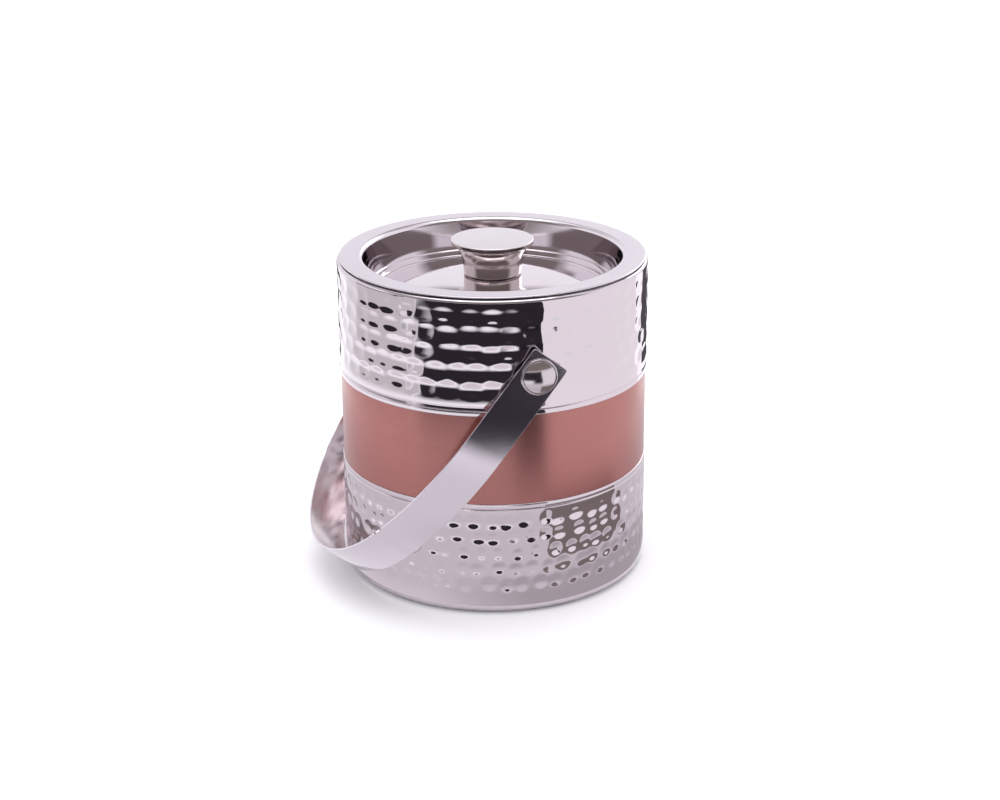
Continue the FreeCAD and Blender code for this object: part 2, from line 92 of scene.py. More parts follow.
def rounded(corners, closed=True, steps=ARC_STEPS):
    """Points of an outline whose corners (across, up, radius) are turned into arcs."""
    points = []
    count = len(corners)
    for i, corner in enumerate(corners):
        here = Vector(corner[:2])
        radius = corner[2] if len(corner) > 2 else 0.0
        inner = closed or 0 < i < count - 1
        if not radius or not inner:
            points.append(here)
            continue
        before = (Vector(corners[i - 1][:2]) - here).normalized()
        after = (Vector(corners[(i + 1) % count][:2]) - here).normalized()
        half = before.angle(after) / 2
        centre = here + (before + after).normalized() * (radius / math.sin(half))
        start = here + before * (radius / math.tan(half)) - centre
        finish = here + after * (radius / math.tan(half)) - centre
        sweep = start.angle_signed(finish)
        for step in range(steps + 1):
            turned = start.copy()
            turned.rotate(Matrix.Rotation(-sweep * step / steps, 2))
            points.append(centre + turned)
    return points


# %% [markdown]
# The outline is drawn in the XZ plane and spun a full turn. Points on the axis come out once for
# every step, so doubles are merged before the normals are made to point outward.

# %% Spin
WELD = 1e-7


def spin_outline(points, closed=True, steps=256):
    """Turn an outline of (radius, height) points about the Z axis into a shell."""
    bm = bmesh.new()
    verts = [bm.verts.new((p[0] * MM, 0, p[1] * MM)) for p in points]
    edges = [bm.edges.new(pair) for pair in zip(verts, verts[1:])]
    if closed:
        edges.append(bm.edges.new((verts[-1], verts[0])))
    bmesh.ops.spin(
        bm, geom=verts + edges, cent=(0, 0, 0), axis=(0, 0, 1), angle=TURN,
        steps=steps, use_merge=True, use_duplicate=False,
    )
    bmesh.ops.remove_doubles(bm, verts=bm.verts, dist=WELD)
    bmesh.ops.recalc_face_normals(bm, faces=bm.faces)
    return bm


# %% [markdown]
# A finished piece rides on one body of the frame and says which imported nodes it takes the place
# of. Weighted normals keep its flat faces flat right up to the rounded edges. The hammered sheets
# do without them, since they have no flat face.

# %% Finish a piece
def even_shading(piece, keep_sharp=True):
    """Shade the large faces flat and let only the narrow edge faces bend the light."""
    weighted = piece.modifiers.new("even_shading", "WEIGHTED_NORMAL")
    weighted.weight = 100
    weighted.keep_sharp = keep_sharp


def finish_piece(bm, name, body, materials, replaces, shade_even=True):
    """Turn a bmesh into a smooth-shaded piece that rides on a body."""
    mesh = bpy.data.meshes.new(name)
    for face in bm.faces:
        face.smooth = True
    bm.to_mesh(mesh)
    bm.free()
    piece = bpy.data.objects.new(name, mesh)
    bpy.context.collection.objects.link(piece)
    for material in materials:
        mesh.materials.append(material)
    if shade_even:
        even_shading(piece)
    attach(piece, body)
    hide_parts(*replaces)
    print(name, len(mesh.polygons), "faces")
    return piece


# %% [markdown]
# ## Finishes
# Everything is metal, so the finishes differ in tint, in how sharp the reflection is and in the
# direction of the polishing lines. Real polish is never even: a slow noise makes the roughness
# drift, and a fine stretched noise makes the hairlines that a buffing wheel leaves.

# %% A plain metal
def new_metal(name, tint, roughness):
    """A metal whose uniform values sit on the shader's own sockets."""
    material = bpy.data.materials.new(name)
    material.use_nodes = True
    shader = material.node_tree.nodes["Principled BSDF"]
    shader.inputs["Base Color"].default_value = (*tint, 1)
    shader.inputs["Metallic"].default_value = 1.0
    shader.inputs["Roughness"].default_value = roughness
    return material, shader


# %% [markdown]
# Patterns need coordinates. Object coordinates stay with the piece when it moves. For marks left
# by a turning wheel they are changed to distance, angle and height, so that a noise stretched
# along the angle gives fine rings.

# %% Coordinates for patterns
def object_space(material, scale=(1, 1, 1)):
    """Object coordinates through a Mapping node that stretches the pattern."""
    nodes = material.node_tree.nodes
    coordinates = nodes.new("ShaderNodeTexCoord")
    mapping = nodes.new("ShaderNodeMapping")
    mapping.inputs["Scale"].default_value = scale
    material.node_tree.links.new(coordinates.outputs["Object"], mapping.inputs["Vector"])
    return mapping.outputs["Vector"]


def round_space(material, around, along):
    """Coordinates (distance from the axis, angle, height) for marks left by a turning wheel."""
    nodes = material.node_tree.nodes
    links = material.node_tree.links
    coordinates = nodes.new("ShaderNodeTexCoord")
    split = nodes.new("ShaderNodeSeparateXYZ")
    links.new(coordinates.outputs["Object"], split.inputs[0])
    flat = nodes.new("ShaderNodeCombineXYZ")
    links.new(split.outputs["X"], flat.inputs["X"])
    links.new(split.outputs["Y"], flat.inputs["Y"])
    reach = nodes.new("ShaderNodeVectorMath")
    reach.operation = "LENGTH"
    links.new(flat.outputs[0], reach.inputs[0])
    angle = nodes.new("ShaderNodeMath")
    angle.operation = "ARCTAN2"
    links.new(split.outputs["Y"], angle.inputs[0])
    links.new(split.outputs["X"], angle.inputs[1])
    joined = nodes.new("ShaderNodeCombineXYZ")
    links.new(reach.outputs["Value"], joined.inputs["X"])
    links.new(angle.outputs[0], joined.inputs["Y"])
    links.new(split.outputs["Z"], joined.inputs["Z"])
    mapping = nodes.new("ShaderNodeMapping")
    mapping.inputs["Scale"].default_value = (along, around, along)
    links.new(joined.outputs[0], mapping.inputs["Vector"])
    return mapping.outputs["Vector"]


# %% [markdown]
# A noise can drive three things: the roughness, the tint and a very low relief.

# %% What a noise drives
def noise(material, vector, scale, detail):
    """A noise pattern over the given coordinates."""
    node = material.node_tree.nodes.new("ShaderNodeTexNoise")
    node.inputs["Scale"].default_value = scale
    node.inputs["Detail"].default_value = detail
    material.node_tree.links.new(vector, node.inputs["Vector"])
    return node.outputs["Fac"]


def drive_roughness(material, shader, value, low, high):
    """Let the roughness drift between two values."""
    spread = material.node_tree.nodes.new("ShaderNodeMapRange")
    spread.inputs["To Min"].default_value = low
    spread.inputs["To Max"].default_value = high
    material.node_tree.links.new(value, spread.inputs["Value"])
    material.node_tree.links.new(spread.outputs["Result"], shader.inputs["Roughness"])


def tone_ramp(tree, value, tones):
    """A colour ramp from (place, colour) pairs, which follows a value."""
    ramp = tree.nodes.new("ShaderNodeValToRGB")
    while len(ramp.color_ramp.elements) < len(tones):
        ramp.color_ramp.elements.new(1.0)
    for element, (place, tone) in zip(ramp.color_ramp.elements, tones):
        element.position = place
        element.color = (*tone, 1)
    tree.links.new(value, ramp.inputs["Fac"])
    return ramp.outputs["Color"]


def drive_tint(material, shader, value, dark, light):
    """Let the tint drift between two colours."""
    tint = tone_ramp(material.node_tree, value, [(0.3, dark), (0.7, light)])
    material.node_tree.links.new(tint, shader.inputs["Base Color"])


def add_lines(material, shader, value, strength, depth):
    """Press the pattern into the surface as a fine relief."""
    bump = material.node_tree.nodes.new("ShaderNodeBump")
    bump.inputs["Strength"].default_value = strength
    bump.inputs["Distance"].default_value = depth
    material.node_tree.links.new(value, bump.inputs["Height"])
    material.node_tree.links.new(bump.outputs["Normal"], shader.inputs["Normal"])


# %% [markdown]
# The steel has a faint rose-lavender cast, so its tint leans that way. Mirror polish has a
# roughness of a few hundredths, satin about a quarter.

# %% Kinds of finish
def mirror_steel(name, tint, low, high):
    """Polished steel with a faint cloudiness in its tint and its sharpness."""
    material, shader = new_metal(name, tint, low)
    cloud = noise(material, object_space(material), 22, 2)
    drive_roughness(material, shader, cloud, low, high)
    drive_tint(material, shader, cloud, [c * 0.97 for c in tint], tint)
    return material


def turned_steel(name, tint, low, high, strength):
    """Satin or polished steel whose fine lines run round the axis."""
    material, shader = new_metal(name, tint, low)
    lines = noise(material, round_space(material, 0.6, 900), 1.0, 4)
    drive_roughness(material, shader, lines, low, high)
    cloud = noise(material, object_space(material), 30, 2)
    drive_tint(material, shader, cloud, [c * 0.95 for c in tint], tint)
    add_lines(material, shader, lines, strength, 0.00003)
    return material


def strap_steel(name, tint, low, high, strength):
    """Steel whose fine lines run along the strap, sharper outside than inside."""
    material, shader = new_metal(name, tint, low)
    lines = noise(material, object_space(material, (40, 900, 900)), 1.0, 3)
    drive_roughness(material, shader, lines, low, high)
    add_lines(material, shader, lines, strength, 0.00002)
    return material


# %% [markdown]
# Each finish has a name, a tint, and the lowest and highest roughness. The last number, where there
# is one, is the strength of the lines.

# %% The finishes of this bucket
hammered_steel = mirror_steel("hammered_steel", (0.67, 0.615, 0.655), 0.04, 0.07)
dish_steel = mirror_steel("polished_dish", (0.72, 0.67, 0.705), 0.04, 0.08)
flange_steel = turned_steel("satin_flange", (0.72, 0.68, 0.725), 0.20, 0.26, 0.12)
liner_steel = turned_steel("satin_liner", (0.72, 0.70, 0.71), 0.20, 0.30, 0.3)
# The knob is one turned piece of steel: the lighter tint of its top is painted light from above, and
# the darker brown tint of its stem and flare is painted shade.
knob_steel = turned_steel("turned_knob", (0.54, 0.485, 0.47), 0.08, 0.13, 0.3)
knob_top_steel = turned_steel("satin_knob_top", (0.80, 0.77, 0.79), 0.25, 0.34, 0.3)
copper = turned_steel("satin_copper", (0.43, 0.19, 0.175), 0.22, 0.29, 0.12)
pivot_steel = mirror_steel("polished_pivot", (0.60, 0.555, 0.575), 0.10, 0.15)
fastener_steel = mirror_steel("bright_fastener", (0.62, 0.61, 0.62), 0.18, 0.26)
strap_outside = strap_steel("polished_strap", (0.75, 0.71, 0.77), 0.09, 0.14, 0.08)
strap_inside = strap_steel("satin_strap", (0.76, 0.71, 0.71), 0.19, 0.26, 0.2)

# %% [markdown]
# ## Studio
# Polished metal shows the room and not itself, so the studio comes before the pieces. The camera
# looks slightly down on the bucket. Its place is given by the direction it looks from, so that the
# room can be laid out round the same direction.

# %% Camera
VIEW_AZIMUTH = math.radians(74.2)
VIEW_DOWN = math.radians(20.5)
VIEW_ROLL = math.radians(-0.39)
CAMERA_REACH = 1.0657
LENS = 70.45
SENSOR = 36
AIM_RIGHT = 0.0035
AIM_UP = 0.0888
toward = Vector((math.sin(VIEW_AZIMUTH), -math.cos(VIEW_AZIMUTH), 0))
rightward = Vector((math.cos(VIEW_AZIMUTH), math.sin(VIEW_AZIMUTH), 0))
aim = rightward * AIM_RIGHT + Vector((0, 0, AIM_UP))
back = toward * math.cos(VIEW_DOWN) + Vector((0, 0, math.sin(VIEW_DOWN)))
camera_data = bpy.data.cameras.new("camera")
camera_data.lens = LENS
camera_data.sensor_width = SENSOR
camera = bpy.data.objects.new("camera", camera_data)
bpy.context.collection.objects.link(camera)
camera.location = aim + back * CAMERA_REACH
camera.rotation_mode = "QUATERNION"
straight = (-back).to_track_quat("-Z", "Y")
camera.rotation_quaternion = straight @ Matrix.Rotation(VIEW_ROLL, 4, "Z").to_quaternion()
bpy.context.scene.camera = camera
bpy.context.scene.view_settings.view_transform = "Standard"
print("camera at", [round(c, 3) for c in camera.location])

# %% [markdown]
# The floor is pale and plain.

# %% Floor
FLOOR_HALF = 6


def stage_mesh(name, bm, material):
    """A mesh object that belongs to the studio."""
    mesh = bpy.data.meshes.new(name)
    bm.to_mesh(mesh)
    bm.free()
    piece = bpy.data.objects.new(name, mesh)
    bpy.context.collection.objects.link(piece)
    mesh.materials.append(material)
    return piece


def floor_material():
    """Nearly white and nearly without shine."""
    material = bpy.data.materials.new("pale_floor")
    material.use_nodes = True
    shader = material.node_tree.nodes["Principled BSDF"]
    shader.inputs["Base Color"].default_value = (0.93, 0.925, 0.935, 1)
    shader.inputs["Roughness"].default_value = 0.9
    shader.inputs["Specular IOR Level"].default_value = 0.1
    return material


floor_bm = bmesh.new()
bmesh.ops.create_grid(floor_bm, x_segments=1, y_segments=1, size=FLOOR_HALF)
stage_mesh("floor", floor_bm, floor_material())

# %% [markdown]
# In front of the table the room is dark, as where somebody stands to look at it. Cards that only
# reflections see stand for such things: they make the dark band down the middle of the shell and
# on the strap's arm, and the paler patches beside it. A card gives off its own tone, so the lights
# don't change it.

# %% Tone of a card
def glow_material(name, colour):
    """A surface that shows one tone, whatever the light."""
    material = bpy.data.materials.new(name)
    material.use_nodes = True
    nodes = material.node_tree.nodes
    nodes.clear()
    glow = nodes.new("ShaderNodeEmission")
    glow.inputs["Color"].default_value = (*colour, 1)
    output = nodes.new("ShaderNodeOutputMaterial")
    material.node_tree.links.new(glow.outputs[0], output.inputs["Surface"])
    return material, glow, output


def from_axis(material):
    """The distance of a point of the floor from the bucket's axis."""
    reach = material.node_tree.nodes.new("ShaderNodeVectorMath")
    reach.operation = "LENGTH"
    material.node_tree.links.new(object_space(material, (1, 1, 0)), reach.inputs[0])
    return reach.outputs["Value"]


def from_view(material):
    """The angle of a point of the floor, measured from the direction of the camera."""
    nodes = material.node_tree.nodes
    links = material.node_tree.links
    coordinates = nodes.new("ShaderNodeTexCoord")
    turn = nodes.new("ShaderNodeMapping")
    turn.inputs["Rotation"].default_value[2] = -math.atan2(toward.y, toward.x)
    links.new(coordinates.outputs["Object"], turn.inputs["Vector"])
    split = nodes.new("ShaderNodeSeparateXYZ")
    links.new(turn.outputs["Vector"], split.inputs[0])
    angle = nodes.new("ShaderNodeMath")
    angle.operation = "ARCTAN2"
    links.new(split.outputs["Y"], angle.inputs[0])
    links.new(split.outputs["X"], angle.inputs[1])
    return angle.outputs[0]


def fade_in(material, value, start, finish, smooth=False):
    """From 0 to 1 as the value goes from start to finish."""
    fade = material.node_tree.nodes.new("ShaderNodeMapRange")
    if smooth:
        fade.interpolation_type = "SMOOTHSTEP"
    fade.inputs["From Min"].default_value = start
    fade.inputs["From Max"].default_value = finish
    material.node_tree.links.new(value, fade.inputs["Value"])
    return fade.outputs["Result"]


# %% [markdown]
# A hard edge of a card would show as a cut across the satin parts, so some cards fade in across an
# angle and across a distance. The floor close to the foot gets its own ring, with painted shade
# where the bucket shades it.

# %% Soft tones
def soft_edge_glow(name, colour, angles, reaches):
    """A tone that fades in across two angles in degrees and two distances in metres."""
    material, glow, output = glow_material(name, colour)
    nodes = material.node_tree.nodes
    links = material.node_tree.links
    both = nodes.new("ShaderNodeMath")
    both.operation = "MULTIPLY"
    turned = fade_in(material, from_view(material), *[math.radians(angle) for angle in angles])
    outward = fade_in(material, from_axis(material), *reaches, smooth=True)
    links.new(turned, both.inputs[0])
    links.new(outward, both.inputs[1])
    clear = nodes.new("ShaderNodeBsdfTransparent")
    mix = nodes.new("ShaderNodeMixShader")
    links.new(both.outputs[0], mix.inputs["Fac"])
    links.new(clear.outputs[0], mix.inputs[1])
    links.new(glow.outputs[0], mix.inputs[2])
    links.new(mix.outputs[0], output.inputs["Surface"])
    return material


def near_floor_shade_glow():
    """The floor round the foot, with painted shade near the bucket and open floor farther out."""
    material, glow, output = glow_material("near_floor", (1, 1, 1))
    tones = [(0.086, 0.90), (0.11, 0.78), (0.19, 0.78), (0.30, 1.05)]
    colours = [(reach, (tone, tone * 0.95, tone)) for reach, tone in tones]
    shade = tone_ramp(material.node_tree, from_axis(material), colours)
    material.node_tree.links.new(shade, glow.inputs["Color"])
    return material


# %% [markdown]
# A floor card is a flat sector of a ring round the bucket's axis. A wall card is such a sector,
# thin and raised. All angles are in degrees from the camera's direction, all reaches in metres.

# %% Shape of a card
FRONT_WALL = 1.5
FRONT_WALL_TOP = 0.15
WALL_THICKNESS = 0.01


def only_reflected(piece):
    """Hide a card from everything but reflections."""
    piece.visible_camera = False
    piece.visible_diffuse = False
    piece.visible_shadow = False
    piece.visible_transmission = False


def sector(inner, outer, start, finish, height, steps=24):
    """A flat ring sector round the Z axis."""
    bm = bmesh.new()
    base = math.atan2(toward.y, toward.x)
    first = Matrix.Rotation(base + math.radians(start), 4, "Z")
    ends = [bm.verts.new(first @ Vector((reach, 0, height))) for reach in (inner, outer)]
    edge = bm.edges.new(ends)
    bmesh.ops.spin(
        bm, geom=ends + [edge], cent=(0, 0, 0), axis=(0, 0, 1),
        angle=math.radians(finish) - math.radians(start), steps=steps,
    )
    return bm


def floor_card(name, inner, outer, start, finish, height, material):
    """A card that lies just above the floor."""
    bm = sector(inner, outer, start, finish, height)
    only_reflected(stage_mesh(name, bm, material))


def wall_card(name, start, finish, material):
    """A low curved wall round the table."""
    bm = sector(FRONT_WALL, FRONT_WALL + WALL_THICKNESS, start, finish, 0)
    raised = bmesh.ops.extrude_face_region(bm, geom=bm.faces[:])["geom"]
    bmesh.ops.translate(
        bm, verts=[item for item in raised if isinstance(item, bmesh.types.BMVert)],
        vec=(0, 0, FRONT_WALL_TOP),
    )
    only_reflected(stage_mesh(name, bm, material))


# %% [markdown]
# The dark cards come first: the wide one in front, one beside it that the strap's arm mirrors, and
# one at the left that shows as dots in the hammered marks. The grey ring at the foot is painted
# shade on the floor round the bucket; the other grey and brown ones are the floor and the things
# that stand on it.

# %% Dark cards
dark_glow = soft_edge_glow("dark_front", (0.034, 0.028, 0.035), (-57, -47), (0.31, 0.42))
floor_card("dark_front", 0.30, FRONT_WALL, -63, 33, 0.0008, dark_glow)
wall_card("dark_front_wall", -63, 33, dark_glow)
arm_glow = soft_edge_glow("dark_beside_arm", (0.022, 0.018, 0.026), (8, 18), (0.24, 0.31))
floor_card("dark_beside_arm", 0.24, 0.45, 8, 34, 0.0007, arm_glow)
dark_left = glow_material("dark_left", (0.03, 0.025, 0.03))[0]
floor_card("dark_left", 0.85, FRONT_WALL, -112, -63, 0.0008, dark_left)
wall_card("dark_left_wall", -112, -63, dark_left)

# %% Grey and brown cards
# A grey ring round the foot, darkest next to it: painted shade of the bucket on the floor.
foot_shade_glow = soft_edge_glow("painted_foot_shade", (0.53, 0.49, 0.52), (-30, 15), (0.140, 0.105))
floor_card("painted_foot_shade", 0.0865, 0.141, -30, 115, 0.0005, foot_shade_glow)
# The ring round the foot is darker near the bucket: painted shade on the floor.
floor_card("near_floor", 0.086, 0.30, 0, 360, 0.0004, near_floor_shade_glow())
left_glow = soft_edge_glow("grey_left", (0.78, 0.74, 0.76), (-140, -100), (0.30, 0.42))
floor_card("grey_left", 0.30, FRONT_WALL, -140, -56, 0.0006, left_glow)
right_glow = glow_material("grey_right", (1.12, 1.07, 1.11))[0]
floor_card("grey_right", 0.24, FRONT_WALL, 33, 125, 0.0006, right_glow)
brown_glow = glow_material("brown_patch", (0.25, 0.205, 0.20))[0]
floor_card("brown_patch", 0.140, 0.215, 31, 84, 0.0006, brown_glow)
grey_glow = glow_material("grey_back", (0.10, 0.09, 0.10))[0]
floor_card("grey_back_right", 0.36, 1.6, 134, 158, 0.0006, grey_glow)
floor_card("grey_back_left", 0.36, 1.6, -166, -150, 0.0006, grey_glow)

# %% [markdown]
# The room above is seen mostly by the lid and the knob. Reflections see it bright near the horizon,
# patchy higher up and bright again overhead. Towards the camera it is dark above the table, which
# gives the dish its dark lip. The camera itself sees plain white behind the bucket.

# %% Tones of the room
CLUTTER_SCALE = 1.7
OPEN_TONE = (1.08, 1.05, 1.11)
AHEAD_TONE = (0.27, 0.23, 0.225)
BLACK = (0, 0, 0)
WHITE = (1, 1, 1)
world = bpy.data.worlds.new("pale_room")
bpy.context.scene.world = world
world.use_nodes = True
world_nodes = world.node_tree.nodes
world_links = world.node_tree.links
direction = world_nodes.new("ShaderNodeTexCoord").outputs["Generated"]
split_direction = world_nodes.new("ShaderNodeSeparateXYZ")
world_links.new(direction, split_direction.inputs[0])
upward = split_direction.outputs["Z"]
patches = world_nodes.new("ShaderNodeTexNoise")
patches.inputs["Scale"].default_value = CLUTTER_SCALE
patches.inputs["Detail"].default_value = 1.0
world_links.new(direction, patches.inputs["Vector"])
clutter = tone_ramp(world.node_tree, patches.outputs["Fac"], [
    (0.38, (0.22, 0.18, 0.18)),
    (0.46, (0.50, 0.45, 0.45)),
    (0.54, (1.12, 1.09, 1.14)),
])
print("room tones", len(world_nodes), "nodes")

# %% [markdown]
# Masks say where each tone is seen. The first leaves the patches only in the middle heights. The
# second is the product of two: above the table, and ahead, towards the camera.

# %% Masks of the room
open_room = tone_ramp(world.node_tree, upward, [
    (0.0, WHITE),
    (0.40, WHITE),
    (0.48, BLACK),
    (0.75, BLACK),
    (0.85, WHITE),
])
facing = world_nodes.new("ShaderNodeVectorMath")
facing.operation = "DOT_PRODUCT"
world_links.new(direction, facing.inputs[0])
facing.inputs[1].default_value = toward
ahead = tone_ramp(world.node_tree, facing.outputs["Value"], [(0.15, BLACK), (0.40, WHITE)])
above_table = tone_ramp(world.node_tree, upward, [
    (0.02, BLACK),
    (0.08, WHITE),
    (0.70, WHITE),
    (0.85, BLACK),
])


def mix_tones(blend_type, factor, first, second):
    """Mix two tones of the room. Each of the three can be a socket or a plain value."""
    mix = world_nodes.new("ShaderNodeMix")
    mix.data_type = "RGBA"
    mix.blend_type = blend_type
    for socket, value in zip((mix.inputs["Factor"], mix.inputs[6], mix.inputs[7]),
                             (factor, first, second)):
        if isinstance(value, bpy.types.NodeSocket):
            world_links.new(value, socket)
        else:
            socket.default_value = value
    return mix.outputs[2]


room_tone = mix_tones("MIX", open_room, clutter, (*OPEN_TONE, 1))
dark_ahead = mix_tones("MULTIPLY", 1.0, ahead, above_table)
reflected_tone = mix_tones("MIX", dark_ahead, room_tone, (*AHEAD_TONE, 1))
shown = world_nodes["Background"]
world_links.new(reflected_tone, shown.inputs["Color"])

# %% [markdown]
# Only glossy rays see those tones. All others see one even white, which also lights the scene.

# %% Light of the room
ROOM_LIGHT = 1.14
lit = world_nodes.new("ShaderNodeBackground")
lit.inputs["Color"].default_value = (0.97, 0.97, 1, 1)
lit.inputs["Strength"].default_value = ROOM_LIGHT
path = world_nodes.new("ShaderNodeLightPath")
blend = world_nodes.new("ShaderNodeMixShader")
world_links.new(path.outputs["Is Glossy Ray"], blend.inputs["Fac"])
world_links.new(lit.outputs[0], blend.inputs[1])
world_links.new(shown.outputs[0], blend.inputs[2])
world_links.new(blend.outputs[0], world_nodes["World Output"].inputs["Surface"])

# %% [markdown]
# Two soft lights add a gentle shade on the floor: a large one overhead and a small one from the
# side.

# %% Lights
LIT_HEIGHT = 0.09


def area_light(name, place, size, power):
    """A rectangular light that faces the middle of the bucket."""
    data = bpy.data.lights.new(name, "AREA")
    data.shape = "RECTANGLE"
    data.size, data.size_y = size
    data.energy = power
    light = bpy.data.objects.new(name, data)
    bpy.context.collection.objects.link(light)
    light.location = place
    beam = Vector((0, 0, LIT_HEIGHT)) - Vector(place)
    light.rotation_euler = beam.to_track_quat("-Z", "Y").to_euler()


area_light("top_light", (0.0, 0.0, 1.7), (1.3, 1.3), 10)
area_light("side_light", (-0.9, 0.9, 0.7), (0.8, 0.5), 2.5)

# %% [markdown]
# ## Outer shell
# The shell is a drawn can. Hammer blows were struck row by row with a round punch, in two
# zones above and below the band, so each row is a chain of shallow bowls that nearly touch. A bump
# map would light them but leave the outline and the reflections straight, so the bowls are
# pressed into a dense spun mesh instead. The sizes come first. The heights of the rows are listed
# from the top down.

# %% Shell sizes
SHELL_WALL = 0.7
BASE_CORNER = 6.0
SHOULDER = 1.6
RIM_END = body_radius - 6.5
BAND_RECESS = 1.0
BEAD_HEIGHT = 2.9
GROOVE_DEPTH = 0.35
GROOVE_HALF = 0.4
UPPER_ROWS = [163.4, 153.8, 144.2, 134.3, 124.7]
LOWER_ROWS = [52.6, 43.8, 34.8, 25.9, 17.0]
TUCK = 0.30
TUCK_RISE = 5.0
SHELL_STEPS = 560
ROW_STEP = 0.85
low_groove = band_low[2] - BEAD_HEIGHT
high_groove = band_high[2] + BEAD_HEIGHT
band_side = body_radius - BAND_RECESS
band_middle = (band_low[2] + band_high[2]) / 2
print("grooves at", round(low_groove, 2), "and", round(high_groove, 2))

# %% [markdown]
# The outline of the shell has three kinds of parts: a rolled groove beside the band, a plain wall
# and a wall that is drawn in a little just above a groove, which gives the bead its bright line.

# %% Parts of the shell's outline
def groove_corners(height):
    """A shallow groove with softened edges."""
    return [
        (body_radius, height - GROOVE_HALF, 0.15),
        (body_radius - GROOVE_DEPTH, height, 0.12),
        (body_radius, height + GROOVE_HALF, 0.15),
    ]


def plain_wall(low, high):
    """Closely spaced points up a plain wall, so that the bowls have mesh to press into."""
    count = int((high - low) / ROW_STEP)
    return [(body_radius, low + (high - low) * i / count) for i in range(1, count)]


def tucked_wall(low, high):
    """A plain wall that is drawn in a little just above the groove's lip."""
    points = []
    for reach, up in plain_wall(low, high):
        share = min(1, (up - low) / TUCK_RISE)
        points.append((reach - TUCK * (1 - share) ** 2, up))
    return points


# %% [markdown]
# The shell is made as a lower and an upper half, which meet hidden under the copper band.

# %% Outlines of the shell
LOWER_WALL_START = 10.0
UPPER_WALL_END = rim_height - 4
lower_outline = rounded([
    (0, 0),
    (body_radius, 0, BASE_CORNER),
    *plain_wall(LOWER_WALL_START, low_groove - GROOVE_HALF),
    *groove_corners(low_groove),
    (body_radius, band_low[2], 0.35),
    (band_side, band_low[2], 0.1),
    (band_side, band_middle),
], closed=False)
upper_outline = rounded([
    (band_side, band_middle),
    (band_side, band_high[2], 0.1),
    (body_radius, band_high[2], 0.35),
    *groove_corners(high_groove),
    *tucked_wall(high_groove + GROOVE_HALF, UPPER_WALL_END),
    (body_radius, rim_height, SHOULDER),
    (RIM_END, rim_height),
], closed=False)
print("outline points", len(lower_outline), len(upper_outline))

# %% [markdown]
# Hand-struck marks are never quite regular. Each one gets its own small drift in place, size and
# depth from a seeded generator, so that every run gives the same shell.

# %% Hammer marks
DRIFT_AROUND = 0.2
DRIFT_UP = 0.8
PROFILE = 1.7


def hammer_marks(rows, pitch, wide, tall, depths, generator):
    """Angle, height, half width, half height and depth of every blow in a zone."""
    marks = []
    for height in rows:
        count = round(TURN * body_radius / pitch)
        offset = generator.random() * TURN
        for i in range(count):
            drift = generator.uniform(-DRIFT_AROUND, DRIFT_AROUND)
            angle = offset + TURN * (i + drift) / count
            up = height + generator.uniform(-DRIFT_UP, DRIFT_UP)
            across = wide * generator.uniform(0.88, 1.12)
            rise = tall * generator.uniform(0.9, 1.1)
            marks.append((angle, up, across, rise, generator.uniform(*depths)))
    return marks


# %% [markdown]
# Each bowl sinks the points inside its ellipse, most in the middle. Where two bowls meet, the
# deeper one wins, and a ridge stays between them, as between real hammer marks.

# %% Press the marks
def press(bm, marks):
    """Press every bowl into the sheet."""
    places = np.array([vert.co[:] for vert in bm.verts]) / MM
    angles = np.arctan2(places[:, 1], places[:, 0])
    reach = np.hypot(places[:, 0], places[:, 1])
    sink = np.zeros(len(places))
    for angle, up, wide, tall, depth in marks:
        around = (angles - angle + math.pi) % TURN - math.pi
        distance = (around * body_radius / wide) ** 2 + ((places[:, 2] - up) / tall) ** 2
        near = distance < 1
        sink[near] = np.maximum(sink[near], depth * (1 - distance[near]) ** PROFILE)
    off_the_wall = reach < body_radius - TUCK - 0.05
    sink[off_the_wall] = 0
    for vert, amount, distance in zip(bm.verts, sink, reach):
        if amount:
            vert.co.x *= 1 - amount / distance
            vert.co.y *= 1 - amount / distance


# %% [markdown]
# The pressed skin gets its thickness from a Solidify modifier, so the marks show inside as well.
# The upper marks are wide and nearly touch. The lower ones are smaller and stand apart.

# %% Hammered shell
def hammered_sheet(name, outline, marks):
    """One half of the shell, hammered and given its thickness."""
    bm = spin_outline(outline, closed=False, steps=SHELL_STEPS)
    press(bm, marks)
    piece = finish_piece(
        bm, name, "bucket", [hammered_steel], ["outer_shell"], shade_even=False,
    )
    sheet = piece.modifiers.new("sheet", "SOLIDIFY")
    sheet.thickness = SHELL_WALL * MM
    sheet.offset = -1
    return piece


blows = random.Random(11)
upper_marks = hammer_marks(UPPER_ROWS, 10.8, 7.8, 5.4, (0.52, 0.66), blows)
lower_marks = hammer_marks(LOWER_ROWS, 9.2, 4.6, 4.3, (0.52, 0.76), blows)
hammered_sheet("lower_shell", lower_outline, lower_marks)
hammered_sheet("upper_shell", upper_outline, upper_marks)

# %% [markdown]
# ## Copper band
# A thin copper sleeve lies in the shell's recess. Its finish is satin, so it mirrors the dark front
# of the room with soft edges.

# %% Copper band
BAND_WALL = 0.5
BAND_EDGE = 0.15
band_outer = band_high[0]
band_inner = band_outer - BAND_WALL
band_bm = spin_outline(rounded([
    (band_inner, band_low[2]),
    (band_outer, band_low[2], BAND_EDGE),
    (band_outer, band_high[2], BAND_EDGE),
    (band_inner, band_high[2]),
]), steps=384)
finish_piece(band_bm, "copper_sleeve", "bucket", [copper], ["copper_band"])

# %% [markdown]
# ## Inner liner
# The ice sits in a second cup inside the shell. Its mouth is rounded over and meets the shell's
# rim, where the two are welded and polished flush.

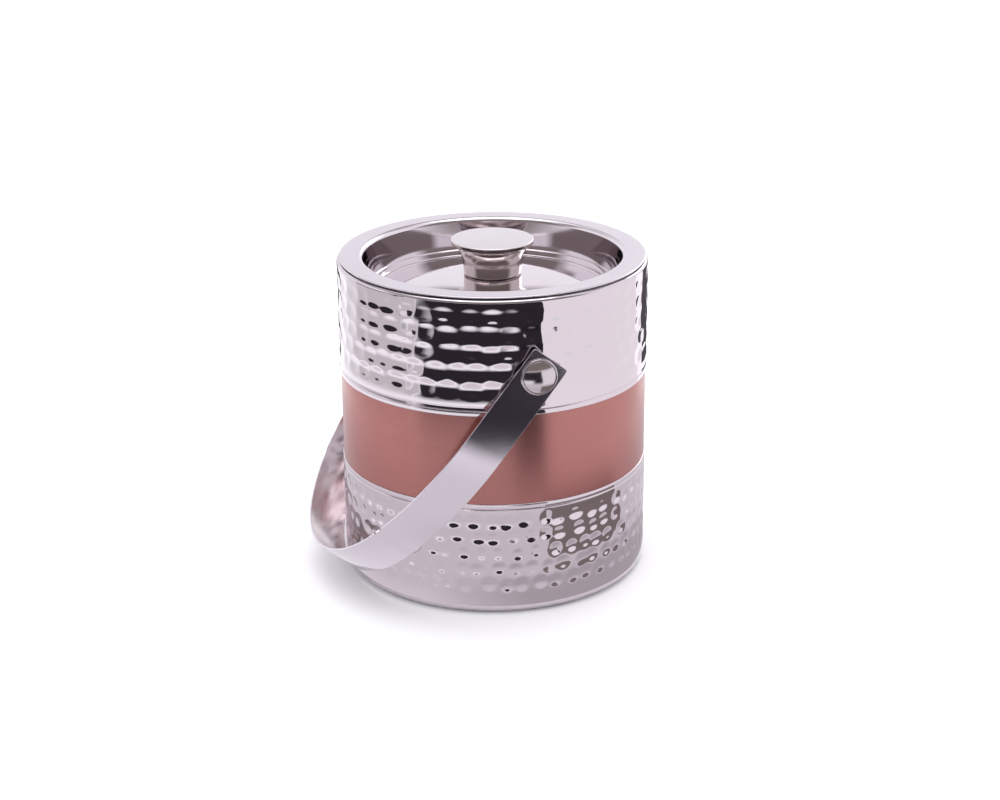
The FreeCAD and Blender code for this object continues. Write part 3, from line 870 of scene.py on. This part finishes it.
# %% Inner liner
MOUTH_RADIUS = 70.1
MOUTH_LIP = 1.0
LINER_WALL = 0.6
LINER_CORNER = 12.0
liner_bottom = box_mm("inner_liner")[0][2]
liner_floor = liner_bottom + LINER_WALL
liner_bm = spin_outline(rounded([
    (0, liner_bottom),
    (MOUTH_RADIUS + LINER_WALL, liner_bottom, LINER_CORNER + LINER_WALL),
    (MOUTH_RADIUS + LINER_WALL, rim_height - LINER_WALL, MOUTH_LIP - LINER_WALL),
    (RIM_END, rim_height - LINER_WALL),
    (RIM_END, rim_height),
    (MOUTH_RADIUS, rim_height, MOUTH_LIP),
    (MOUTH_RADIUS, liner_floor, LINER_CORNER),
    (0, liner_floor),
], closed=False, steps=8), closed=False, steps=256)
finish_piece(liner_bm, "liner_cup", "bucket", [liner_steel], ["inner_liner"])

# %% [markdown]
# ## Lid
# The lid is pressed from one sheet. Its flange is satin and folded under at the edge, and the dish
# is polished: a leaning wall, a small ledge and gutter at its foot, and a floor that domes up
# to the knob. Its sizes follow the lid's box, the knob's seat and the liner's mouth.

# %% Lid sizes
LID_WALL = 0.6
LID_CLEARANCE = 0.5
DISH_LEAN = 3.0
LEDGE_DEPTH = 17.2
GUTTER_DEPTH = 2.7
GUTTER_WIDTH = 1.0
LEDGE_WIDTH = 1.0
DISH_LIP = 2.6
lid_top = lid_high[2]
lid_edge = lid_high[0]
seat_height = knob_low[2]
dish_radius = MOUTH_RADIUS - LID_CLEARANCE - LID_WALL
dish_foot = dish_radius - DISH_LEAN
ledge_height = lid_top - LEDGE_DEPTH
gutter_height = ledge_height - GUTTER_DEPTH
step_radius = dish_foot - LEDGE_WIDTH
dome_edge = step_radius - LID_WALL - GUTTER_WIDTH
SEAT_RADIUS = 16.5
HOLE_RADIUS = 2.75
HEM_SET_BACK = 1.9
HEM_WIDTH = 4.5
under_flange = lid_top - LID_WALL
under_hem = lid_top - 2 * LID_WALL
hem_edge = lid_top - 1.3 * LID_WALL
print("dish", round(dish_radius, 2), "to", round(dish_foot, 2), "mm, flange to", lid_edge)

# %% [markdown]
# The dish's floor is an arc that is level at the knob's seat and falls to the gutter.

# %% Domed floor
def dome(height_low, height_high, count=14):
    """The domed floor from the gutter up to the knob's seat, level at the seat."""
    run = dome_edge - SEAT_RADIUS
    rise = height_high - height_low
    radius = (run * run + rise * rise) / (2 * rise)
    points = []
    for i in range(1, count):
        across = run * i / count
        sunk = radius - math.sqrt(radius ** 2 - across ** 2)
        points.append((SEAT_RADIUS + across, height_high - sunk))
    return points


# %% [markdown]
# One closed outline makes both skins: along the underside from the screw's hole out to the hem,
# then back over the flange and through the dish. The faces are given their finish by radius.

# %% Lid
FLANGE_START = dish_radius + 0.25
lower_dome = dome(gutter_height - LID_WALL, seat_height - LID_WALL)
upper_dome = dome(gutter_height, seat_height)
lid_bm = spin_outline(rounded([
    (HOLE_RADIUS, seat_height - LID_WALL),
    (SEAT_RADIUS, seat_height - LID_WALL),
    *lower_dome,
    (dome_edge, gutter_height - LID_WALL, 0.4),
    (step_radius, gutter_height - LID_WALL, 0.4),
    (step_radius + LID_WALL, ledge_height - LID_WALL, 0.3),
    (dish_foot + LID_WALL, ledge_height - LID_WALL, 0.3),
    (dish_radius + LID_WALL, under_flange, 0.4),
    (lid_edge - HEM_WIDTH, under_flange),
    (lid_edge - HEM_WIDTH, under_hem),
    (lid_edge - HEM_SET_BACK, under_hem, 0.2),
    (lid_edge - HEM_SET_BACK, hem_edge, 0.2),
    (lid_edge, hem_edge, 0.3),
    (lid_edge, lid_top, 0.45),
    (dish_radius, lid_top, DISH_LIP),
    (dish_foot, ledge_height, 0.5),
    (step_radius, ledge_height, 0.3),
    (step_radius - LID_WALL, gutter_height, 0.3),
    (dome_edge, gutter_height, 0.3),
    *reversed(upper_dome),
    (SEAT_RADIUS, seat_height),
    (HOLE_RADIUS, seat_height),
]), steps=384)
for face in lid_bm.faces:
    middle = face.calc_center_median() / MM
    face.material_index = 1 if middle.xy.length > FLANGE_START else 0
finish_piece(
    lid_bm, "lid_dish", "lid", [dish_steel, flange_steel], ["lid_pan"],
)

# %% [markdown]
# ## Knob
# The knob is turned from bar: a flat satin top, a thin edge, a hollow flare and a slightly tapered
# stem, with a groove at the foot that shows as a dark line. The flare is an arc between the neck
# and the brim.

# %% Knob's flare
def flare(start, finish, radius, count=16):
    """Points of the hollow arc between two points, bulging towards the stem."""
    chord = finish - start
    side = Vector((chord.y, -chord.x)).normalized()
    centre = (start + finish) / 2 + side * math.sqrt(radius ** 2 - (chord.length / 2) ** 2)
    first = start - centre
    sweep = first.angle_signed(finish - centre)
    points = []
    for i in range(1, count):
        turned = first.copy()
        turned.rotate(Matrix.Rotation(-sweep * i / count, 2))
        points.append(tuple(centre + turned))
    return points


# %% [markdown]
# The outline runs from the middle of the seat round the brim to the middle of the top, which
# rises a few hundredths so that it catches the light evenly.

# %% Knob
KNOB_FOOT = 15.2
KNOB_NECK = 15.9
STEM_HEIGHT = 7.8
FLARE = 11.3
UNDERCUT = 0.9
BRIM_HEIGHT = 2.2
TOP_EDGE = 0.5
TOP_SKIN = 0.35
knob_radius = knob_high[0]
knob_top = knob_high[2]
neck = Vector((KNOB_NECK, seat_height + STEM_HEIGHT))
brim = Vector((knob_radius, knob_top - BRIM_HEIGHT))
knob_bm = spin_outline(rounded([
    (0, seat_height),
    (KNOB_FOOT - UNDERCUT, seat_height),
    (KNOB_FOOT - UNDERCUT, seat_height + UNDERCUT, 0.15),
    (KNOB_FOOT, seat_height + UNDERCUT, 0.2),
    tuple(neck),
    *flare(neck, brim, FLARE),
    (*brim, 0.15),
    (knob_radius, knob_top - 0.15, TOP_EDGE),
    (knob_radius * 0.55, knob_top - 0.04),
    (0, knob_top),
], closed=False), closed=False, steps=192)
# The top skin gets the lighter tint, which is painted light; the rest of the knob keeps the darker
# brown tint, which is painted shade.
for face in knob_bm.faces:
    middle = face.calc_center_median() / MM
    face.material_index = 1 if middle.z > knob_top - TOP_SKIN else 0
finish_piece(
    knob_bm, "turned_knob", "lid", [knob_steel, knob_top_steel], ["lid_knob"],
)

# %% [markdown]
# ## Handle
# The handle is one flat strap bent to a bail. It is swept as it would be bent: a flat section runs
# straight down one arm, turns about the shoulder's centre, the grip's centre and the other
# shoulder's centre, and runs up the other arm. The shoulder's and the grip's arcs have to meet
# without a kink, which gives the shoulder's radius and turn. At rest the grip leans on the shell.

# %% Handle sizes
STRAP_WALL = 1.2
STRAP_END = 10.6
STRAP_ARM = 44.0
STRAP_REACH = 149.8
STRAP_SHOULDER = 9.6
END_WIDTH = 21.8
GRIP_WIDTH = 23.6
STRAP_CORNER = 1.5
BUSH_HOLE = 4.05
BUSH_GAP = 1.0
REST_GAP = 0.3
half_span = body_radius + BUSH_GAP + STRAP_WALL / 2
grip_radius = half_span - STRAP_SHOULDER
drop = STRAP_REACH - grip_radius - STRAP_ARM
side_radius = (half_span ** 2 + drop ** 2 - grip_radius ** 2) / (2 * STRAP_SHOULDER)
side_turn = math.atan2(drop, side_radius - half_span)
rest_reach = STRAP_REACH - STRAP_WALL / 2
rest_lean = math.asin((body_radius + REST_GAP) / math.hypot(rest_reach, GRIP_WIDTH / 2))
rest_lean += math.atan(GRIP_WIDTH / 2 / rest_reach)
print("handle leans", round(math.degrees(rest_lean), 2), "degrees at rest")

# %% [markdown]
# Extrude carries the section along the straight arms and spin carries it round the arcs. The last
# faces of each step start the next one.

# %% Sweep the strap
SHOULDER_STEPS = 10
GRIP_STEPS = 72


def sweep_strap():
    """Sweep the flat section along the arms and arcs, hanging from a pivot at the origin."""
    bm = bmesh.new()
    place = Matrix.Translation((half_span, 0, STRAP_END))
    size = Matrix.Diagonal((STRAP_WALL, 2, 1, 1))
    bmesh.ops.create_grid(bm, x_segments=1, y_segments=1, size=0.5, matrix=place @ size)
    tip = bm.faces[:]

    def straight(rise):
        """Carry the section straight up or down."""
        made = bmesh.ops.extrude_face_region(bm, geom=tip)["geom"]
        verts = [item for item in made if isinstance(item, bmesh.types.BMVert)]
        bmesh.ops.translate(bm, verts=verts, vec=(0, 0, rise))
        return [item for item in made if isinstance(item, bmesh.types.BMFace)]

    def bend(centre_x, centre_z, angle, steps):
        """Carry the section round a centre."""
        made = bmesh.ops.spin(
            bm, geom=tip, cent=(centre_x, 0, centre_z), axis=(0, 1, 0), angle=angle, steps=steps,
        )["geom_last"]
        return [item for item in made if isinstance(item, bmesh.types.BMFace)]

    tip = straight(-STRAP_END - STRAP_ARM)
    tip = bend(half_span - side_radius, -STRAP_ARM, side_turn, SHOULDER_STEPS)
    tip = bend(0, -STRAP_ARM - drop, math.pi - 2 * side_turn, GRIP_STEPS)
    tip = bend(side_radius - half_span, -STRAP_ARM, side_turn, SHOULDER_STEPS)
    straight(STRAP_END + STRAP_ARM)
    return bm


# %% [markdown]
# The width grows a little from the ends to the grip. Then the corners of the ends are rounded, and
# narrow bevels break the sharp edges, so that they catch a line of light.

# %% Taper and soften the strap
EDGE_BREAK = 0.22
SAME = 1e-4
SHARP = math.radians(50)


def taper_strap(bm):
    """Spread the section's two sides to the strap's width at each height."""
    top = STRAP_END + 1
    length = top + STRAP_REACH + STRAP_WALL
    for vert in bm.verts:
        share = (top - vert.co.z) / length
        vert.co.y *= (END_WIDTH + (GRIP_WIDTH - END_WIDTH) * share) / 2


def soften_strap(bm):
    """Round the corners of the ends, then break every sharp edge."""
    corners = [
        edge for edge in bm.edges
        if all(abs(v.co.z - STRAP_END) < SAME for v in edge.verts)
        and abs(edge.verts[0].co.y - edge.verts[1].co.y) < SAME
    ]
    bmesh.ops.bevel(
        bm, geom=corners, offset=STRAP_CORNER, affect="EDGES", segments=6, profile=0.5, material=-1,
    )
    bmesh.ops.recalc_face_normals(bm, faces=bm.faces)
    sharp = [edge for edge in bm.edges if edge.calc_face_angle(0) > SHARP]
    bmesh.ops.bevel(
        bm, geom=sharp, offset=EDGE_BREAK, affect="EDGES", segments=3, profile=0.5, material=-1,
    )


# %% [markdown]
# One long drill cuts both pivot holes, while the strap still hangs from the origin.

# %% Drill
def drill(piece, radius, half_length):
    """Cut one round hole along X through a mesh object that still hangs from the origin."""
    bm = bmesh.new()
    bmesh.ops.create_cone(
        bm, cap_ends=True, segments=48, radius1=radius * MM, radius2=radius * MM,
        depth=2 * half_length * MM, matrix=Matrix.Rotation(math.pi / 2, 4, "Y"),
    )
    mesh = bpy.data.meshes.new("drill")
    bm.to_mesh(mesh)
    bm.free()
    cutter = bpy.data.objects.new("drill", mesh)
    bpy.context.collection.objects.link(cutter)
    cut = piece.modifiers.new("hole", "BOOLEAN")
    cut.operation = "DIFFERENCE"
    cut.solver = "EXACT"
    cut.object = cutter
    bpy.context.view_layer.update()
    cut_piece = piece.evaluated_get(bpy.context.evaluated_depsgraph_get())
    shaped = bpy.data.meshes.new_from_object(cut_piece)
    piece.modifiers.remove(cut)
    piece.data = shaped
    bpy.data.objects.remove(cutter)


# %% [markdown]
# The inside of the strap has a duller finish than the outside. When the holes are cut, the strap is
# turned to its resting lean and lifted to the pivots.

# %% Handle strap
DRILL_MARGIN = 10
strap_bm = sweep_strap()
taper_strap(strap_bm)
soften_strap(strap_bm)
for face in strap_bm.faces:
    middle = face.calc_center_median()
    inward = Vector((-middle.x, 0, max(0, -STRAP_ARM - drop - middle.z)))
    faces_in = abs(face.normal.y) < 0.5 and face.normal.dot(inward) > 0.5 * inward.length
    face.material_index = 1 if faces_in else 0
bmesh.ops.scale(strap_bm, verts=strap_bm.verts, vec=(MM, MM, MM))
strap = finish_piece(
    strap_bm, "flat_strap", "handle", [strap_outside, strap_inside],
    ["handle_strap"], shade_even=False,
)
drill(strap, BUSH_HOLE, half_span + DRILL_MARGIN)
lean = Matrix.Rotation(-rest_lean, 4, "X")
strap.data.transform(Matrix.Translation((0, 0, pivot_height * MM)) @ lean)
for face in strap.data.polygons:
    face.use_smooth = True
even_shading(strap, keep_sharp=False)

# %% [markdown]
# ## Pivot fittings
# Each arm turns on a bush. Outside it sits a thin washer with a rolled lip, and inside that lip
# the smooth domed head of the pivot bolt. They are turned parts, so both are spun outlines laid on
# their side along the pivot axis.

# %% Pivot sizes
CUP_RADIUS = 9.45
CUP_WALL = 0.6
CUP_LIP = 1.3
CUP_LIP_WIDTH = 1.0
BOLT_RADIUS = 2.5
HEAD_EDGE = 0.7
HEAD_DOME = 1.8
STRAP_PLAY = 0.1
SHANK_FIT = 0.05
HEAD_FIT = 0.15
cup_base = body_radius + BUSH_GAP + STRAP_WALL + STRAP_PLAY
head_seat = cup_base + CUP_WALL
head_radius = CUP_RADIUS - CUP_LIP_WIDTH - HEAD_FIT
head_edge = head_seat + HEAD_EDGE
bolt_tip = bolt_low[0]


def lay_on_pivot(bm, side):
    """Turn a piece that was spun about Z on its side, at the right or the left pivot."""
    turn = Matrix.Rotation(side * math.pi / 2, 4, "Y")
    bmesh.ops.transform(
        bm, verts=bm.verts, matrix=Matrix.Translation((0, 0, pivot_height * MM)) @ turn,
    )


def dome_points(radius, base, rise, count=14):
    """The arc of a domed head, from its edge to its middle."""
    ball = (radius ** 2 + rise ** 2) / (2 * rise)
    points = []
    for i in range(1, count):
        across = radius * (1 - i / count)
        points.append((across, base + rise - ball + math.sqrt(ball ** 2 - across ** 2)))
    return points


# %% [markdown]
# Right and left are the same, turned to face outward.

# %% Washers and bolts on both sides
for side, label in ((1, "right"), (-1, "left")):
    cup_bm = spin_outline(rounded([
        (BOLT_RADIUS + SHANK_FIT, cup_base),
        (CUP_RADIUS, cup_base, 0.25),
        (CUP_RADIUS, cup_base + CUP_LIP, 0.48),
        (CUP_RADIUS - CUP_LIP_WIDTH, cup_base + CUP_LIP, 0.48),
        (CUP_RADIUS - CUP_LIP_WIDTH, head_seat, 0.1),
        (BOLT_RADIUS + SHANK_FIT, head_seat),
    ]), steps=96)
    lay_on_pivot(cup_bm, side)
    finish_piece(
        cup_bm, label + "_lipped_washer", "bucket", [pivot_steel],
        [label + "_cup_washer"],
    )
    bolt_bm = spin_outline(rounded([
        (0, bolt_tip),
        (BOLT_RADIUS, bolt_tip, 0.4),
        (BOLT_RADIUS, head_seat),
        (head_radius, head_seat),
        (head_radius, head_edge, 0.3),
        *dome_points(head_radius, head_edge, HEAD_DOME),
        (0, head_edge + HEAD_DOME),
    ], closed=False), closed=False, steps=96)
    lay_on_pivot(bolt_bm, side)
    finish_piece(
        bolt_bm, label + "_domed_bolt", "bucket", [pivot_steel],
        [label + "_pivot_bolt"],
    )

# %% [markdown]
# ## Hidden hardware
# The bushes, washers, nuts and the knob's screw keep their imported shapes, which are already right.
# They only need real finishes.

# %% Finishes for the kept nodes
def refinish(node, material):
    """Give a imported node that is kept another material."""
    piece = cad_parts[node]
    piece.data.materials.clear()
    piece.data.materials.append(material)


for label in ("right", "left"):
    refinish(label + "_pivot_bush", fastener_steel)
    refinish(label + "_saddle_washer", fastener_steel)
    refinish(label + "_pivot_nut", fastener_steel)
refinish("knob_screw", fastener_steel)
refinish("knob_washer", fastener_steel)
